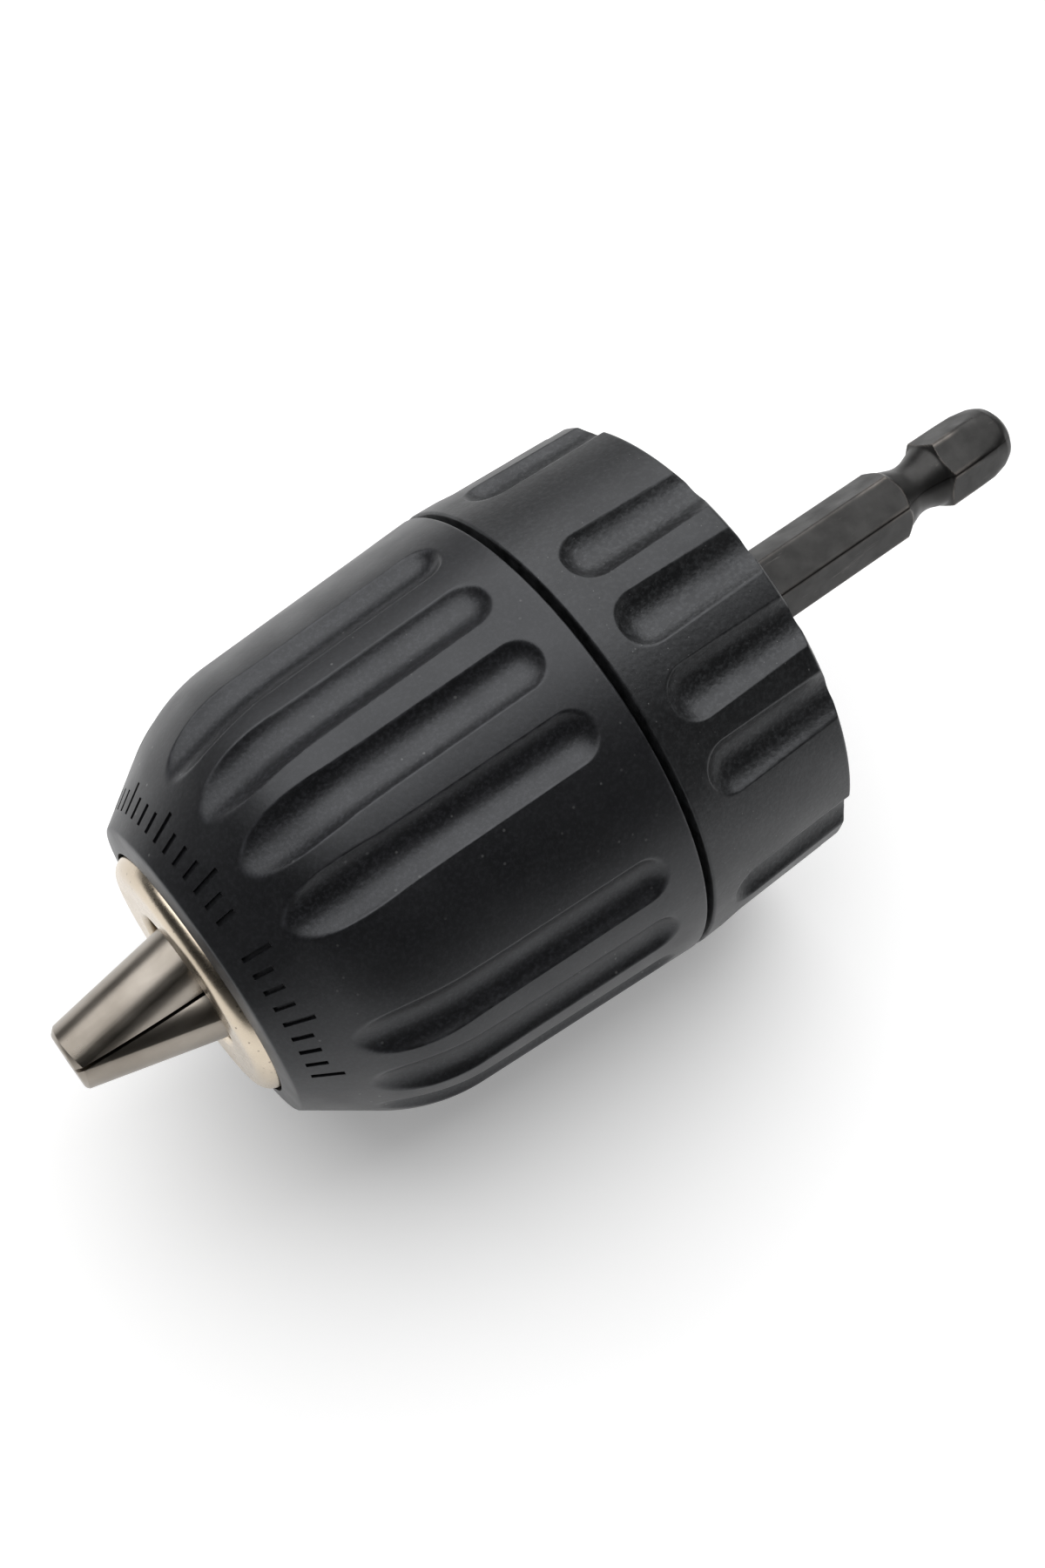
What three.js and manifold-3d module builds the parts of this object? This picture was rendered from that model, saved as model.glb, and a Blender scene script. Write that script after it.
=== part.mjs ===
// Keyless three-jaw drill chuck, 0.8 to 10 mm, on a 1/4 inch hex shank adapter.
//
// Millimetres. +X runs along the chuck's axis, from the end of the shank (the origin) out through the jaws.
// A roll angle turns about +X from +Z towards +Y. Every piece of the real chuck is its own mesh.
//
// How it works: turning the front sleeve turns the split nut. The nut's conical thread drives the three
// inclined jaws along their bores, and a ball thrust bearing behind the nut takes the clamping force.

import * as THREE from "three";
import { mergeVertices } from "three/addons/utils/BufferGeometryUtils.js";
import Module from "manifold-3d";

const wasm = await Module();
wasm.setup();

// ---- Driving dimensions ----

const GAP = 0.3; // between pieces that touch or press together
const FINE = 40; // facets round the two grip sleeves, two for each step of the flute pattern
const MEDIUM = 32; // facets round turned inner pieces
const SMALL = 20; // facets round the shank, the jaws, their bores and the screw
const REACH = 60; // longer than any cut has to be

const shank = {
  acrossFlats: 6.35,
  cornerRadius: 3.58,
  roll: 16.7,
  hexEnd: 34.5,
  endRound: [[0, 1.3], [0.4, 2.1], [1, 2.8], [1.8, 3.23], [3.2, 3.56]],
  groove: [[8.45, 3.62], [8.75, 3.05], [9.8, 2.62], [11.2, 2.42], [12.6, 2.65], [13.7, 3.1], [14.25, 3.62]],
  collarRadius: 6.35,
  collarEnd: 38.3,
  studRadius: 4.5,
  studEnd: 54.4,
  screwHole: 2.5,
  screwHoleStart: 43,
};

const body = {
  rear: 38.6,
  bossRadius: 9.7,
  bossEnd: 41.6,
  drumRadius: 17,
  drumEnd: 61.7,
  stemRadius: 13.5,
  nutGroove: [68.1, 75.4],
  nutGrooveRadius: 9.3,
  shoulderRadius: 13.5,
  shoulderEnd: 80,
  noseStart: 86,
  noseRadius: 9.8,
  front: 89.1,
  toolBore: 5.3,
  toolBoreStart: 58.3,
  webBore: 2.75,
  socketBore: 4.78,
  socketEnd: 54.9,
};

const jaw = {
  count: 3,
  rolls: [-14.1, 105.9, 225.9],
  radius: 3.5,
  boreRadius: 3.75,
  angle: 14.5, // between a jaw's axis and the chuck's
  crossing: 97.6, // where the jaws' axes cross the chuck's
  tip: 101.4,
  tipChamfer: 0.6,
  length: 35.2,
  travel: 18.4, // along the jaw's axis, from shut to 10 mm open
  land: 0.4, // half the smallest tool's diameter, left between the shut jaws
  halfGap: 0.15,
  threadPitch: 2,
  threadDepth: 0.85,
  threadStart: 69.6,
  threadCount: 11,
};

const nut = { start: 68.5, end: 75, radius: 14.6, threadDepth: 0.6, splitRoll: 45 };

const nutSleeve = {
  start: 68.2,
  end: 76.6,
  inner: 14.9,
  outer: 16.3,
  lugs: 4,
  lugEnd: 72.5,
  lugWidth: 4,
  lugHeight: 1,
};

const bearing = {
  inner: 13.8,
  outer: 17.2,
  rearRace: [62, 63.8],
  frontRace: [67.5, 65.6],
  grooveRadius: 1.45,
  ballRadius: 1.15,
  ballCircle: 15.5,
  balls: 15,
  cageHalfThickness: 0.4,
  cageHole: 1.42,
  facets: 45, // three for each ball, round the cage and the races
};

const flute = { step: 18, perGroup: 4, groups: 4 }; // one step in five is left plain

const frontSleeve = {
  rear: 54.3,
  roll: -0.1,
  outer: [
    [54.3, 21.45], [54.6, 21.73], [75.6, 20.36], [77.75, 20.06], [79.76, 19.49], [81.67, 18.63],
    [83.43, 17.54], [88.75, 13.65], [88.95, 13.4],
  ],
  bearingBore: 17.6,
  bearingBoreEnd: 67.8,
  nutBore: 16.6,
  nutBoreEnd: 77,
  shoulderBore: 13.9,
  lipStart: 86.4,
  lipEnd: 87.4,
  lipBore: 10.2,
  capBore: 11.45,
  front: 89.2,
  fluteRadius: 3.05,
  fluteBottom: [[59.4, 20.47], [76.5, 19.36], [89, 15.61]],
};

const rearSleeve = {
  rear: 38.3,
  front: 53.7,
  roll: 23.8,
  outer: [[38.3, 21], [38.75, 21.42], [53.4, 21.78], [53.7, 21.48]],
  bore: 17.3,
  wallEnd: 41.3,
  hole: 10.05,
  fluteRadius: 3.2,
  fluteBottom: [[32, 20.5], [48.8, 20.5]],
};

const noseCap = {
  rear: 87.7,
  outer: [[87.7, 10.85], [88, 11.15], [89.6, 11.15], [90, 10.9], [90.22, 10.4], [90.35, 8.6], [90.35, 7]],
  hole: 6.1,
  holeRound: 0.5,
  bore: 10.1,
  wall: 89.4,
};

const screw = {
  end: 44,
  shankRadius: 2.2,
  headStart: 58.6,
  headEnd: 61.6,
  headRadius: 4.2,
  slotDepth: 1.6,
  slotWidth: 0.9,
  slotLength: 5,
};

// ---- Materials ----

const finish = (color, roughness, metalness) =>
  new THREE.MeshStandardMaterial({ color, roughness, metalness });

const nylon = finish(0x222325, 0.55, 0);
const plated = finish(0xb9b3a8, 0.25, 1);
const jawSteel = finish(0x8b837a, 0.35, 1);
const phosphated = finish(0x3b3937, 0.5, 0.9);
const bearingSteel = finish(0xa9abad, 0.2, 1);
const turnedSteel = finish(0x9a9a98, 0.4, 1);

// ---- Solid helpers ----

const radians = THREE.MathUtils.degToRad;

// A closed geometry as a manifold solid, without the triangles that collapse at the axis.
function solidOf(geometry) {
  const positions = new THREE.BufferGeometry();
  const loose = geometry.index ? geometry.toNonIndexed() : geometry;
  positions.setAttribute("position", loose.getAttribute("position"));
  const merged = mergeVertices(positions, 1e-4);
  const index = Array.from(merged.index.array);
  const kept = [];
  for (let i = 0; i < index.length; i += 3) {
    const [a, b, c] = index.slice(i, i + 3);
    if (a !== b && b !== c && c !== a) kept.push(a, b, c);
  }
  return new wasm.Manifold(
    new wasm.Mesh({
      numProp: 3,
      vertProperties: merged.attributes.position.array,
      triVerts: new Uint32Array(kept),
    }),
  );
}

function meshOf(name, solid, material) {
  const made = solid.getMesh();
  const geometry = new THREE.BufferGeometry();
  geometry.setAttribute("position", new THREE.BufferAttribute(made.vertProperties.slice(), 3));
  geometry.setIndex(new THREE.BufferAttribute(made.triVerts.slice(), 1));
  geometry.computeVertexNormals();
  const mesh = new THREE.Mesh(geometry, material);
  mesh.name = name;
  return mesh;
}

// A solid turned about +X. The profile's [x, radius] points run out from the axis at the low end and back
// to it at the high end, or go once round a ring with the outside first.
function turned(profile, facets = MEDIUM) {
  const points = profile.map(([x, r]) => new THREE.Vector2(r, x));
  if (profile[0][1] > 0) points.push(points[0].clone());
  return solidOf(new THREE.LatheGeometry(points, facets).rotateZ(-Math.PI / 2));
}

const rod = (start, end, radius, facets = MEDIUM) =>
  turned([[start, 0], [start, radius], [end, radius], [end, 0]], facets);

const ring = (start, end, inner, outer, facets = MEDIUM) =>
  turned([[start, outer], [end, outer], [end, inner], [start, inner]], facets);

const box = (x, y, z) => solidOf(new THREE.BoxGeometry(x, y, z));

// Turns a solid by a roll angle, from +Z towards +Y.
const rolled = (solid, roll) => solid.rotate([-roll, 0, 0]);

const cutBy = (solid, cutters) => cutters.reduce((left, cutter) => left.subtract(cutter), solid);

// ---- Shank adapter and its screw ----

function hexAdapter() {
  const corner = shank.acrossFlats / Math.sqrt(3);
  const hex = rolled(rod(0, shank.hexEnd, corner, 6), shank.roll + 30);
  const blank = turned(
    [[0, 0], ...shank.endRound, ...shank.groove, [shank.hexEnd, shank.cornerRadius], [shank.hexEnd, 0]],
    SMALL,
  );
  const collar = turned([
    [shank.hexEnd - 0.6, 0],
    [shank.hexEnd - 0.6, shank.collarRadius - 0.5],
    [shank.hexEnd, shank.collarRadius],
    [shank.collarEnd - 0.3, shank.collarRadius],
    [shank.collarEnd, shank.collarRadius - 0.3],
    [shank.collarEnd, 0],
  ]);
  const stud = turned([
    [shank.collarEnd - 1, 0],
    [shank.collarEnd - 1, shank.studRadius],
    [shank.studEnd - 0.8, shank.studRadius],
    [shank.studEnd, shank.studRadius - 0.8],
    [shank.studEnd, 0],
  ]);
  const hole = rod(shank.screwHoleStart, REACH, shank.screwHole, SMALL);
  return hex.intersect(blank).add(collar).add(stud).subtract(hole);
}

function retainingScrew() {
  const { headRadius, headStart, headEnd, shankRadius, end, slotDepth, slotWidth, slotLength } = screw;
  const blank = turned(
    [
      [end, 0],
      [end, shankRadius - 0.4],
      [end + 0.4, shankRadius],
      [headStart, shankRadius],
      [headStart, headRadius],
      [headEnd - 0.7, headRadius],
      [headEnd, headRadius - 1],
      [headEnd, 0],
    ],
    SMALL,
  );
  const slots = [box(2 * slotDepth, slotWidth, slotLength), box(2 * slotDepth, slotLength, slotWidth)];
  return cutBy(blank, slots.map((slot) => slot.translate([headEnd, 0, 0])));
}

// ---- Jaws ----

const jawSlope = Math.tan(radians(jaw.angle));

// Puts a solid made along +X, with its origin on the jaw's axis where that crosses the chuck's, into place.
const alongJaw = (solid, roll) =>
  rolled(solid.rotate([0, jaw.angle, 0]).translate([jaw.crossing, 0, 0]), roll);

// The third of the space round the axis that one jaw may fill, with its narrow gripping land.
function jawSector() {
  const outer = 14;
  const edge = (r) => (Math.sin(radians(60)) * r - jaw.halfGap) / Math.cos(radians(60));
  const outline = new THREE.Shape([
    new THREE.Vector2(-edge(jaw.land), jaw.land),
    new THREE.Vector2(edge(jaw.land), jaw.land),
    new THREE.Vector2(edge(outer), outer),
    new THREE.Vector2(edge(outer), REACH),
    new THREE.Vector2(-edge(outer), REACH),
    new THREE.Vector2(-edge(outer), outer),
  ]);
  const along = new THREE.ExtrudeGeometry(outline, { depth: 2 * REACH, bevelEnabled: false });
  return solidOf(along).rotate([90, 0, 90]);
}

// V grooves across the jaw's back, square to the chuck's axis, for the nut's conical thread. They are
// a third of the pitch further on from each jaw to the next, as the nut's thread is.
function jawThread(roll) {
  const half = jaw.threadPitch * 0.42;
  const notch = new THREE.Shape([
    new THREE.Vector2(0, 0),
    new THREE.Vector2(half, 1.7 * half),
    new THREE.Vector2(-half, 1.7 * half),
  ]);
  const bar = new THREE.ExtrudeGeometry(notch, { depth: 12, bevelEnabled: false });
  const cutter = solidOf(bar.translate(0, 0, -6)).rotate([90, 0, 0]);
  return Array.from({ length: jaw.threadCount }, (_, i) => {
    const x = jaw.threadStart + (i - roll / 360) * jaw.threadPitch;
    const crest = (jaw.crossing - x) * jawSlope + jaw.radius / Math.cos(radians(jaw.angle));
    return cutter.translate([x, 0, crest - jaw.threadDepth]);
  });
}

function jawSolid(roll) {
  const tipCap = turned([
    [0, 0],
    [0, REACH],
    [jaw.tip - REACH, REACH],
    [jaw.tip - jaw.tipChamfer, 3.1],
    [jaw.tip, 3.1 - jaw.tipChamfer],
    [jaw.tip, 0],
  ]);
  const front = 8;
  const rearEnd = (jaw.tip - jaw.crossing) / Math.cos(radians(jaw.angle)) - jaw.length;
  const blank = turned(
    [[rearEnd, 0], [rearEnd, jaw.radius - 0.5], [rearEnd + 0.5, jaw.radius], [front, jaw.radius], [front, 0]],
    SMALL,
  );
  const slanted = blank.rotate([0, jaw.angle, 0]).translate([jaw.crossing, 0, 0]);
  const cut = slanted.intersect(jawSector()).intersect(tipCap);
  return rolled(cutBy(cut, jawThread(roll)), roll);
}

// ---- Body ----

function chuckBody() {
  const b = body;
  const blank = turned(
    [
      [b.rear, 0],
      [b.rear, b.bossRadius - 0.5],
      [b.rear + 0.5, b.bossRadius],
      [b.bossEnd, b.bossRadius],
      [b.bossEnd, b.drumRadius - 0.5],
      [b.bossEnd + 0.5, b.drumRadius],
      [b.drumEnd, b.drumRadius],
      [b.drumEnd, b.stemRadius],
      [b.nutGroove[0], b.stemRadius],
      [b.nutGroove[0], b.nutGrooveRadius],
      [b.nutGroove[1], b.nutGrooveRadius],
      [b.nutGroove[1], b.shoulderRadius],
      [b.shoulderEnd, b.shoulderRadius],
      [b.noseStart, b.noseRadius],
      [b.front, b.noseRadius],
      [b.front, 0],
    ],
    FINE,
  );
  const boreFront = 20;
  const boreRear =
    (jaw.tip - jaw.crossing) / Math.cos(radians(jaw.angle)) - jaw.length - jaw.travel - 2 * GAP;
  const jawBores = jaw.rolls.map((roll) => alongJaw(rod(boreRear, boreFront, jaw.boreRadius, SMALL), roll));
  return cutBy(blank, [
    rod(b.toolBoreStart, b.front + 1, b.toolBore),
    rod(b.socketEnd - 1, b.toolBoreStart + 1, b.webBore, SMALL),
    rod(b.rear - 1, b.socketEnd, b.socketBore),
    ...jawBores,
  ]);
}

// ---- Nut, its sleeve and the thrust bearing ----

function nutRing() {
  const clear = (x) => (jaw.crossing - x) * jawSlope + jaw.radius / Math.cos(radians(jaw.angle)) + GAP;
  const bore = [];
  for (let x = nut.end; x > nut.start; x -= jaw.threadPitch / 2) {
    const root = bore.length % 2 ? nut.threadDepth : 0;
    bore.push([x, clear(x) + root]);
  }
  bore.push([nut.start, clear(nut.start)]);
  return turned([[nut.start, nut.radius], [nut.end, nut.radius], ...bore]);
}

function nutHalf(side) {
  const halfSpace = box(REACH, REACH, REACH).translate([nut.start, 0, side * (REACH / 2 + GAP / 2)]);
  return rolled(nutRing().intersect(halfSpace), nut.splitRoll);
}

const lugRolls = Array.from({ length: nutSleeve.lugs }, (_, i) => frontSleeve.roll + 45 + i * 90);

// Bars standing on the nut sleeve, or the wider slots that they drive in the front sleeve.
function lugBars(start, end, width, from, to) {
  const bar = box(end - start, width, to - from);
  const placed = bar.translate([(end + start) / 2, 0, (from + to) / 2]);
  return lugRolls.map((roll) => rolled(placed, roll));
}

function nutSleeveSolid() {
  const { start, end, inner, outer, lugEnd, lugWidth, lugHeight } = nutSleeve;
  const lugs = lugBars(start, lugEnd, lugWidth, inner + 0.5, outer + lugHeight);
  return lugs.reduce((made, lug) => made.add(lug), ring(start, end, inner, outer, FINE));
}

const ballRolls = Array.from({ length: bearing.balls }, (_, i) => (i * 360) / bearing.balls);
const ballPlane = (bearing.rearRace[1] + bearing.frontRace[1]) / 2;

// A race from its flat back to its face, which has a round groove for the balls.
function race([back, face]) {
  const { inner, outer, ballCircle, grooveRadius, facets } = bearing;
  const toBack = Math.sign(back - face);
  const halfAngle = Math.acos(Math.abs(face - ballPlane) / grooveRadius);
  const steps = 5;
  const profile = [[face, inner], [back, inner], [back, outer], [face, outer]];
  for (let i = 0; i <= steps; i += 1) {
    const angle = halfAngle * (1 - (2 * i) / steps);
    const depth = grooveRadius * Math.cos(angle);
    profile.push([ballPlane + toBack * depth, ballCircle + grooveRadius * Math.sin(angle)]);
  }
  if (toBack > 0) profile.reverse();
  return turned(profile, facets);
}

function ballCage() {
  const { inner, outer, cageHalfThickness, cageHole, facets, ballCircle } = bearing;
  const [rearFace, frontFace] = [ballPlane - cageHalfThickness, ballPlane + cageHalfThickness];
  const plate = ring(rearFace, frontFace, inner, outer, facets);
  const hole = rod(rearFace - 1, frontFace + 1, cageHole, 8).translate([0, 0, ballCircle]);
  return cutBy(plate, ballRolls.map((roll) => rolled(hole, roll)));
}

const ballSolid = (roll) => {
  const ball = solidOf(new THREE.IcosahedronGeometry(bearing.ballRadius, 1));
  return rolled(ball.translate([ballPlane, 0, bearing.ballCircle]), roll);
};

// ---- Grip sleeves ----

// Copies a cutter to every flute: groups of four, with the fifth step of each group left plain.
function atFlutes(cutter, roll) {
  const rolls = [];
  for (let group = 0; group < flute.groups; group += 1) {
    for (let i = 0; i < flute.perGroup; i += 1) {
      const offset = (i - (flute.perGroup - 1) / 2) * flute.step;
      rolls.push(roll + (group * 360) / flute.groups + offset);
    }
  }
  return rolls.map((each) => rolled(cutter, each));
}

// A round-ended bar whose lowest line runs through [x, radius] points.
function fluteCutter(line, radius) {
  const bars = line.slice(1).map((to, i) => {
    const a = new THREE.Vector3(line[i][0], 0, line[i][1] + radius);
    const b = new THREE.Vector3(to[0], 0, to[1] + radius);
    const bar = new THREE.CapsuleGeometry(radius, a.distanceTo(b), 4, 16).rotateZ(-Math.PI / 2);
    const tilt = Math.atan2(a.z - b.z, b.x - a.x);
    const middle = a.clone().add(b).multiplyScalar(0.5);
    return solidOf(bar.rotateY(tilt).translate(middle.x, middle.y, middle.z));
  });
  return bars.reduce((joined, bar) => joined.add(bar));
}

function frontSleeveSolid() {
  const s = frontSleeve;
  const shell = turned(
    [
      ...s.outer,
      [s.front, s.capBore],
      [s.lipEnd, s.capBore],
      [s.lipEnd, s.lipBore],
      [s.lipStart, s.lipBore],
      [body.shoulderEnd + 0.4, s.shoulderBore],
      [s.nutBoreEnd, s.shoulderBore],
      [s.nutBoreEnd, s.nutBore],
      [s.bearingBoreEnd, s.nutBore],
      [s.bearingBoreEnd, s.bearingBore],
      [s.rear, s.bearingBore],
    ],
    FINE,
  );
  const slots = lugBars(
    s.bearingBoreEnd - GAP,
    nutSleeve.lugEnd + GAP,
    nutSleeve.lugWidth + 2 * GAP,
    s.nutBore - 1,
    nutSleeve.outer + nutSleeve.lugHeight + GAP,
  );
  const flutes = atFlutes(fluteCutter(s.fluteBottom, s.fluteRadius), s.roll);
  return cutBy(cutBy(rolled(shell, s.roll), flutes), slots);
}

function rearSleeveSolid() {
  const s = rearSleeve;
  const shell = turned(
    [
      ...s.outer,
      [s.front, s.bore],
      [s.wallEnd, s.bore],
      [s.wallEnd, s.hole],
      [s.rear, s.hole],
    ],
    FINE,
  );
  const flutes = atFlutes(fluteCutter(s.fluteBottom, s.fluteRadius), s.roll);
  return cutBy(rolled(shell, s.roll), flutes);
}

function noseCapSolid() {
  const c = noseCap;
  return turned(
    [
      ...c.outer,
      [c.outer.at(-1)[0] - c.holeRound, c.hole],
      [c.wall, c.hole],
      [c.wall, c.bore],
      [c.rear, c.bore],
    ],
    FINE,
  );
}

// ---- Assembly ----

const chuck = new THREE.Group();
chuck.name = "drill_chuck";
chuck.add(
  meshOf("chuck_body", chuckBody(), turnedSteel),
  meshOf("rear_sleeve", rearSleeveSolid(), nylon),
  meshOf("front_sleeve", frontSleeveSolid(), nylon),
  meshOf("nose_cap", noseCapSolid(), plated),
  meshOf("hex_adapter", hexAdapter(), phosphated),
  meshOf("retaining_screw", retainingScrew(), turnedSteel),
  meshOf("nut_half_a", nutHalf(1), turnedSteel),
  meshOf("nut_half_b", nutHalf(-1), turnedSteel),
  meshOf("nut_sleeve", nutSleeveSolid(), turnedSteel),
  meshOf("rear_race", race(bearing.rearRace), bearingSteel),
  meshOf("front_race", race(bearing.frontRace), bearingSteel),
  meshOf("ball_cage", ballCage(), bearingSteel),
  ...jaw.rolls.map((roll, i) => meshOf(`jaw_${i + 1}`, jawSolid(roll), jawSteel)),
  ...ballRolls.map((roll, i) => meshOf(`bearing_ball_${i + 1}`, ballSolid(roll), bearingSteel)),
);

export default chuck;
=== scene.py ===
"""A keyless three-jaw drill chuck on a hexagonal shank, lying on its side on a pale floor.

Lengths are millimetres until mesh_object() turns them into metres. +X runs along the chuck's axis to the
jaws, and a roll is an angle about +X, from +Z towards +Y.
"""

import math

import bpy
import numpy as np
from mathutils import Matrix, Vector


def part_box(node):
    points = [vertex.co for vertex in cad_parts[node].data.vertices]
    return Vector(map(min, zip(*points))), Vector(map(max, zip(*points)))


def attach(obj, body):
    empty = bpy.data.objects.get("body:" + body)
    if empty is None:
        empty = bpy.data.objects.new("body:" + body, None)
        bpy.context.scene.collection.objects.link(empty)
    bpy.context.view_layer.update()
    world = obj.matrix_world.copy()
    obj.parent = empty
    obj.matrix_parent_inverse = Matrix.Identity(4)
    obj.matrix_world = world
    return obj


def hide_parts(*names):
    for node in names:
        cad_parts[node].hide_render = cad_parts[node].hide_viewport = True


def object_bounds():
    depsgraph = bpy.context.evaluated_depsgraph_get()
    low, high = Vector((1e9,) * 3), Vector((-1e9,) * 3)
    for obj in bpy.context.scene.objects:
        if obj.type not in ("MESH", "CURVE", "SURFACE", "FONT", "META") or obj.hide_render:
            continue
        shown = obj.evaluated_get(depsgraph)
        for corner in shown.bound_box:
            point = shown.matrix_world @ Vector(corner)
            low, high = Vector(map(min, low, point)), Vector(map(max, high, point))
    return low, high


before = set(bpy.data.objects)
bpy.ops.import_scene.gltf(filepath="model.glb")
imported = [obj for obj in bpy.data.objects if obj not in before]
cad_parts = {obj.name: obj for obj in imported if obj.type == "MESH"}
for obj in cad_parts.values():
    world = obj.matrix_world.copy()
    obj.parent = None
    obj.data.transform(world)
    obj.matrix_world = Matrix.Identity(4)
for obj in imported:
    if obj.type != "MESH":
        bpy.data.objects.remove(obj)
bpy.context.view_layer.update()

MM = 0.001


def span(node):
    """The first and last X of a CAD node."""
    low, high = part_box(node)
    return low.x / MM, high.x / MM


# ---- Driving dimensions ----

FRONT_REAR, FRONT_END = span("front_sleeve")
REAR_REAR, REAR_END = span("rear_sleeve")
CAP_REAR, CAP_END = span("nose_cap")
BODY_REAR, BODY_END = span("chuck_body")
NUT_REAR, NUT_END = span("nut_half_a")
DRIVE_REAR, DRIVE_END = span("nut_sleeve")
TIP = span("jaw_1")[1]

FLUTE_STEP = 18  # degrees; four flutes, then one step left plain
FLUTES_IN_GROUP = 4
FRONT_ROLL = -0.1  # of the middle of one group of flutes
REAR_ROLL = 23.8

HEX_FLATS = 6.35
HEX_ROLL = 16.7
HEX_END = 34.5
STUD_PITCH = 1.058  # 3/8-24

JAW_ROLLS = (-14.1, 105.9, 225.9)
JAW_RADIUS = 3.5
JAW_LENGTH = 35.2
JAW_BORE = 3.75
JAW_ANGLE = 14.5  # between a jaw's axis and the chuck's
JAW_CROSSING = 97.6  # where the jaws' axes cross the chuck's
JAW_SLOPE = math.tan(math.radians(JAW_ANGLE))

THREAD_PITCH = 2.0  # of the jaws and the nut
THREAD_START = 69.6
THREAD_DEPTH = 0.85
THREAD_NOTCHES = 11

DRIVE_ROLL = FRONT_ROLL + 45  # of the first of the nut sleeve's four lugs
DRIVE_SLOTS = (67.8, 72.85)  # the slots in the front sleeve that take the lugs
DRIVE_SLOT_RADIUS = 17.6
DRIVE_SLOT_HALF_WIDTH = 2.3

TICK_STEP = 5.8  # degrees between the ticks on the nose
TICK_ARCS = ((-66, 15), (28, 9))  # the roll of each arc's first tick, and its number of ticks

SCREW_PITCH = 0.8

BALLS = 15
BALL_PLANE = 64.7
BALL_CIRCLE = 15.5
BALL_RADIUS = 1.15
RACE_INNER = 13.8
RACE_OUTER = 17.2
CAGE_HALF_THICKNESS = 0.4
CAGE_HOLE = 1.42


# ---- Mesh helpers ----


def mesh_object(name, points, faces, sharp_angle=35):
    """A mesh object from points in millimetres, smooth apart from its sharp edges."""
    mesh = bpy.data.meshes.new(name)
    mesh.from_pydata((np.asarray(points, float) * MM).tolist(), [], faces)
    mesh.validate()
    piece = bpy.data.objects.new(name, mesh)
    bpy.context.scene.collection.objects.link(piece)
    shade(piece, sharp_angle)
    return piece


def shade(piece, sharp_angle):
    """Smooth shading, with a sharp edge where faces meet at more than an angle in degrees."""
    piece.data.shade_smooth()
    piece.data.set_sharp_from_angle(angle=math.radians(sharp_angle))


def rounded(corners, closed=False):
    """A polyline through (x, radius) corners. A corner's third value is the radius that rounds it."""
    points = []
    count = len(corners)
    for i, corner in enumerate(corners):
        here = np.array(corner[:2], float)
        fillet = corner[2] if len(corner) > 2 else 0
        inner = closed or 0 < i < count - 1
        if not fillet or not inner:
            points.append(here)
            continue
        back = np.array(corners[i - 1][:2], float) - here
        ahead = np.array(corners[(i + 1) % count][:2], float) - here
        back /= np.linalg.norm(back)
        ahead /= np.linalg.norm(ahead)
        half = math.acos(np.clip(back @ ahead, -1, 1)) / 2
        reach = fillet / math.tan(half)
        centre = here + (back + ahead) / np.linalg.norm(back + ahead) * fillet / math.sin(half)
        start = here + back * reach - centre
        turn = math.pi - 2 * half
        side = math.copysign(1, start[1] * back[0] - start[0] * back[1])
        pieces = max(2, math.ceil(math.degrees(turn) / 12), math.ceil(fillet * turn / 0.25))
        for k in range(pieces + 1):
            angle = side * turn * k / pieces
            spin = np.array([[math.cos(angle), -math.sin(angle)], [math.sin(angle), math.cos(angle)]])
            points.append(centre + spin @ start)
    return np.array(points)


def ring_points(x, radius, rolls):
    """Points at one X, at a radius and a roll in radians each."""
    along = np.broadcast_to(x, rolls.shape)
    return np.stack([along, radius * np.sin(rolls), radius * np.cos(rolls)], axis=-1)


def smooth_min(a, b, blend):
    """The lower of two heights, rounded where they cross."""
    near = np.maximum(blend - np.abs(a - b), 0) / blend
    return np.minimum(a, b) - near * near * blend / 4


def spaced(*stretches):
    """Row places: each stretch is (start, end, spacing)."""
    places = []
    for start, end, spacing in stretches:
        places.append(np.linspace(start, end, max(2, math.ceil((end - start) / spacing) + 1)))
    return np.unique(np.round(np.concatenate(places), 4))


def grid_faces(rows, columns, wrap_rows=False):
    """Quads over a grid whose columns go all the way round."""
    i = np.arange(rows if wrap_rows else rows - 1)[:, None]
    j = np.arange(columns)[None, :]
    k = (j + 1) % columns
    up = (i + 1) % rows
    quads = np.stack(
        np.broadcast_arrays(i * columns + j, up * columns + j, up * columns + k, i * columns + k), axis=-1
    )
    return quads.reshape(-1, 4).tolist()


def turned(name, corners, segments=192, sharp_angle=35):
    """A turned piece. Its outline starts and ends on the axis, or goes once round a ring, outside first."""
    on_axis = corners[0][1] == 0
    outline = rounded(corners, closed=not on_axis)
    rolls = np.linspace(0, 2 * math.pi, segments, endpoint=False)
    if not on_axis:
        points = np.concatenate([ring_points(x, r, rolls) for x, r in outline])
        return mesh_object(name, points, grid_faces(len(outline), segments, wrap_rows=True), sharp_angle)
    rows = outline[1:-1]
    points = np.concatenate([ring_points(x, r, rolls) for x, r in rows])
    faces = grid_faces(len(rows), segments)
    first, last = len(points), len(points) + 1
    points = np.concatenate([points, [[outline[0][0], 0, 0], [outline[-1][0], 0, 0]]])
    end = (len(rows) - 1) * segments
    for j in range(segments):
        k = (j + 1) % segments
        faces.append([first, j, k])
        faces.append([last, end + k, end + j])
    return mesh_object(name, points, faces, sharp_angle)


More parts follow.
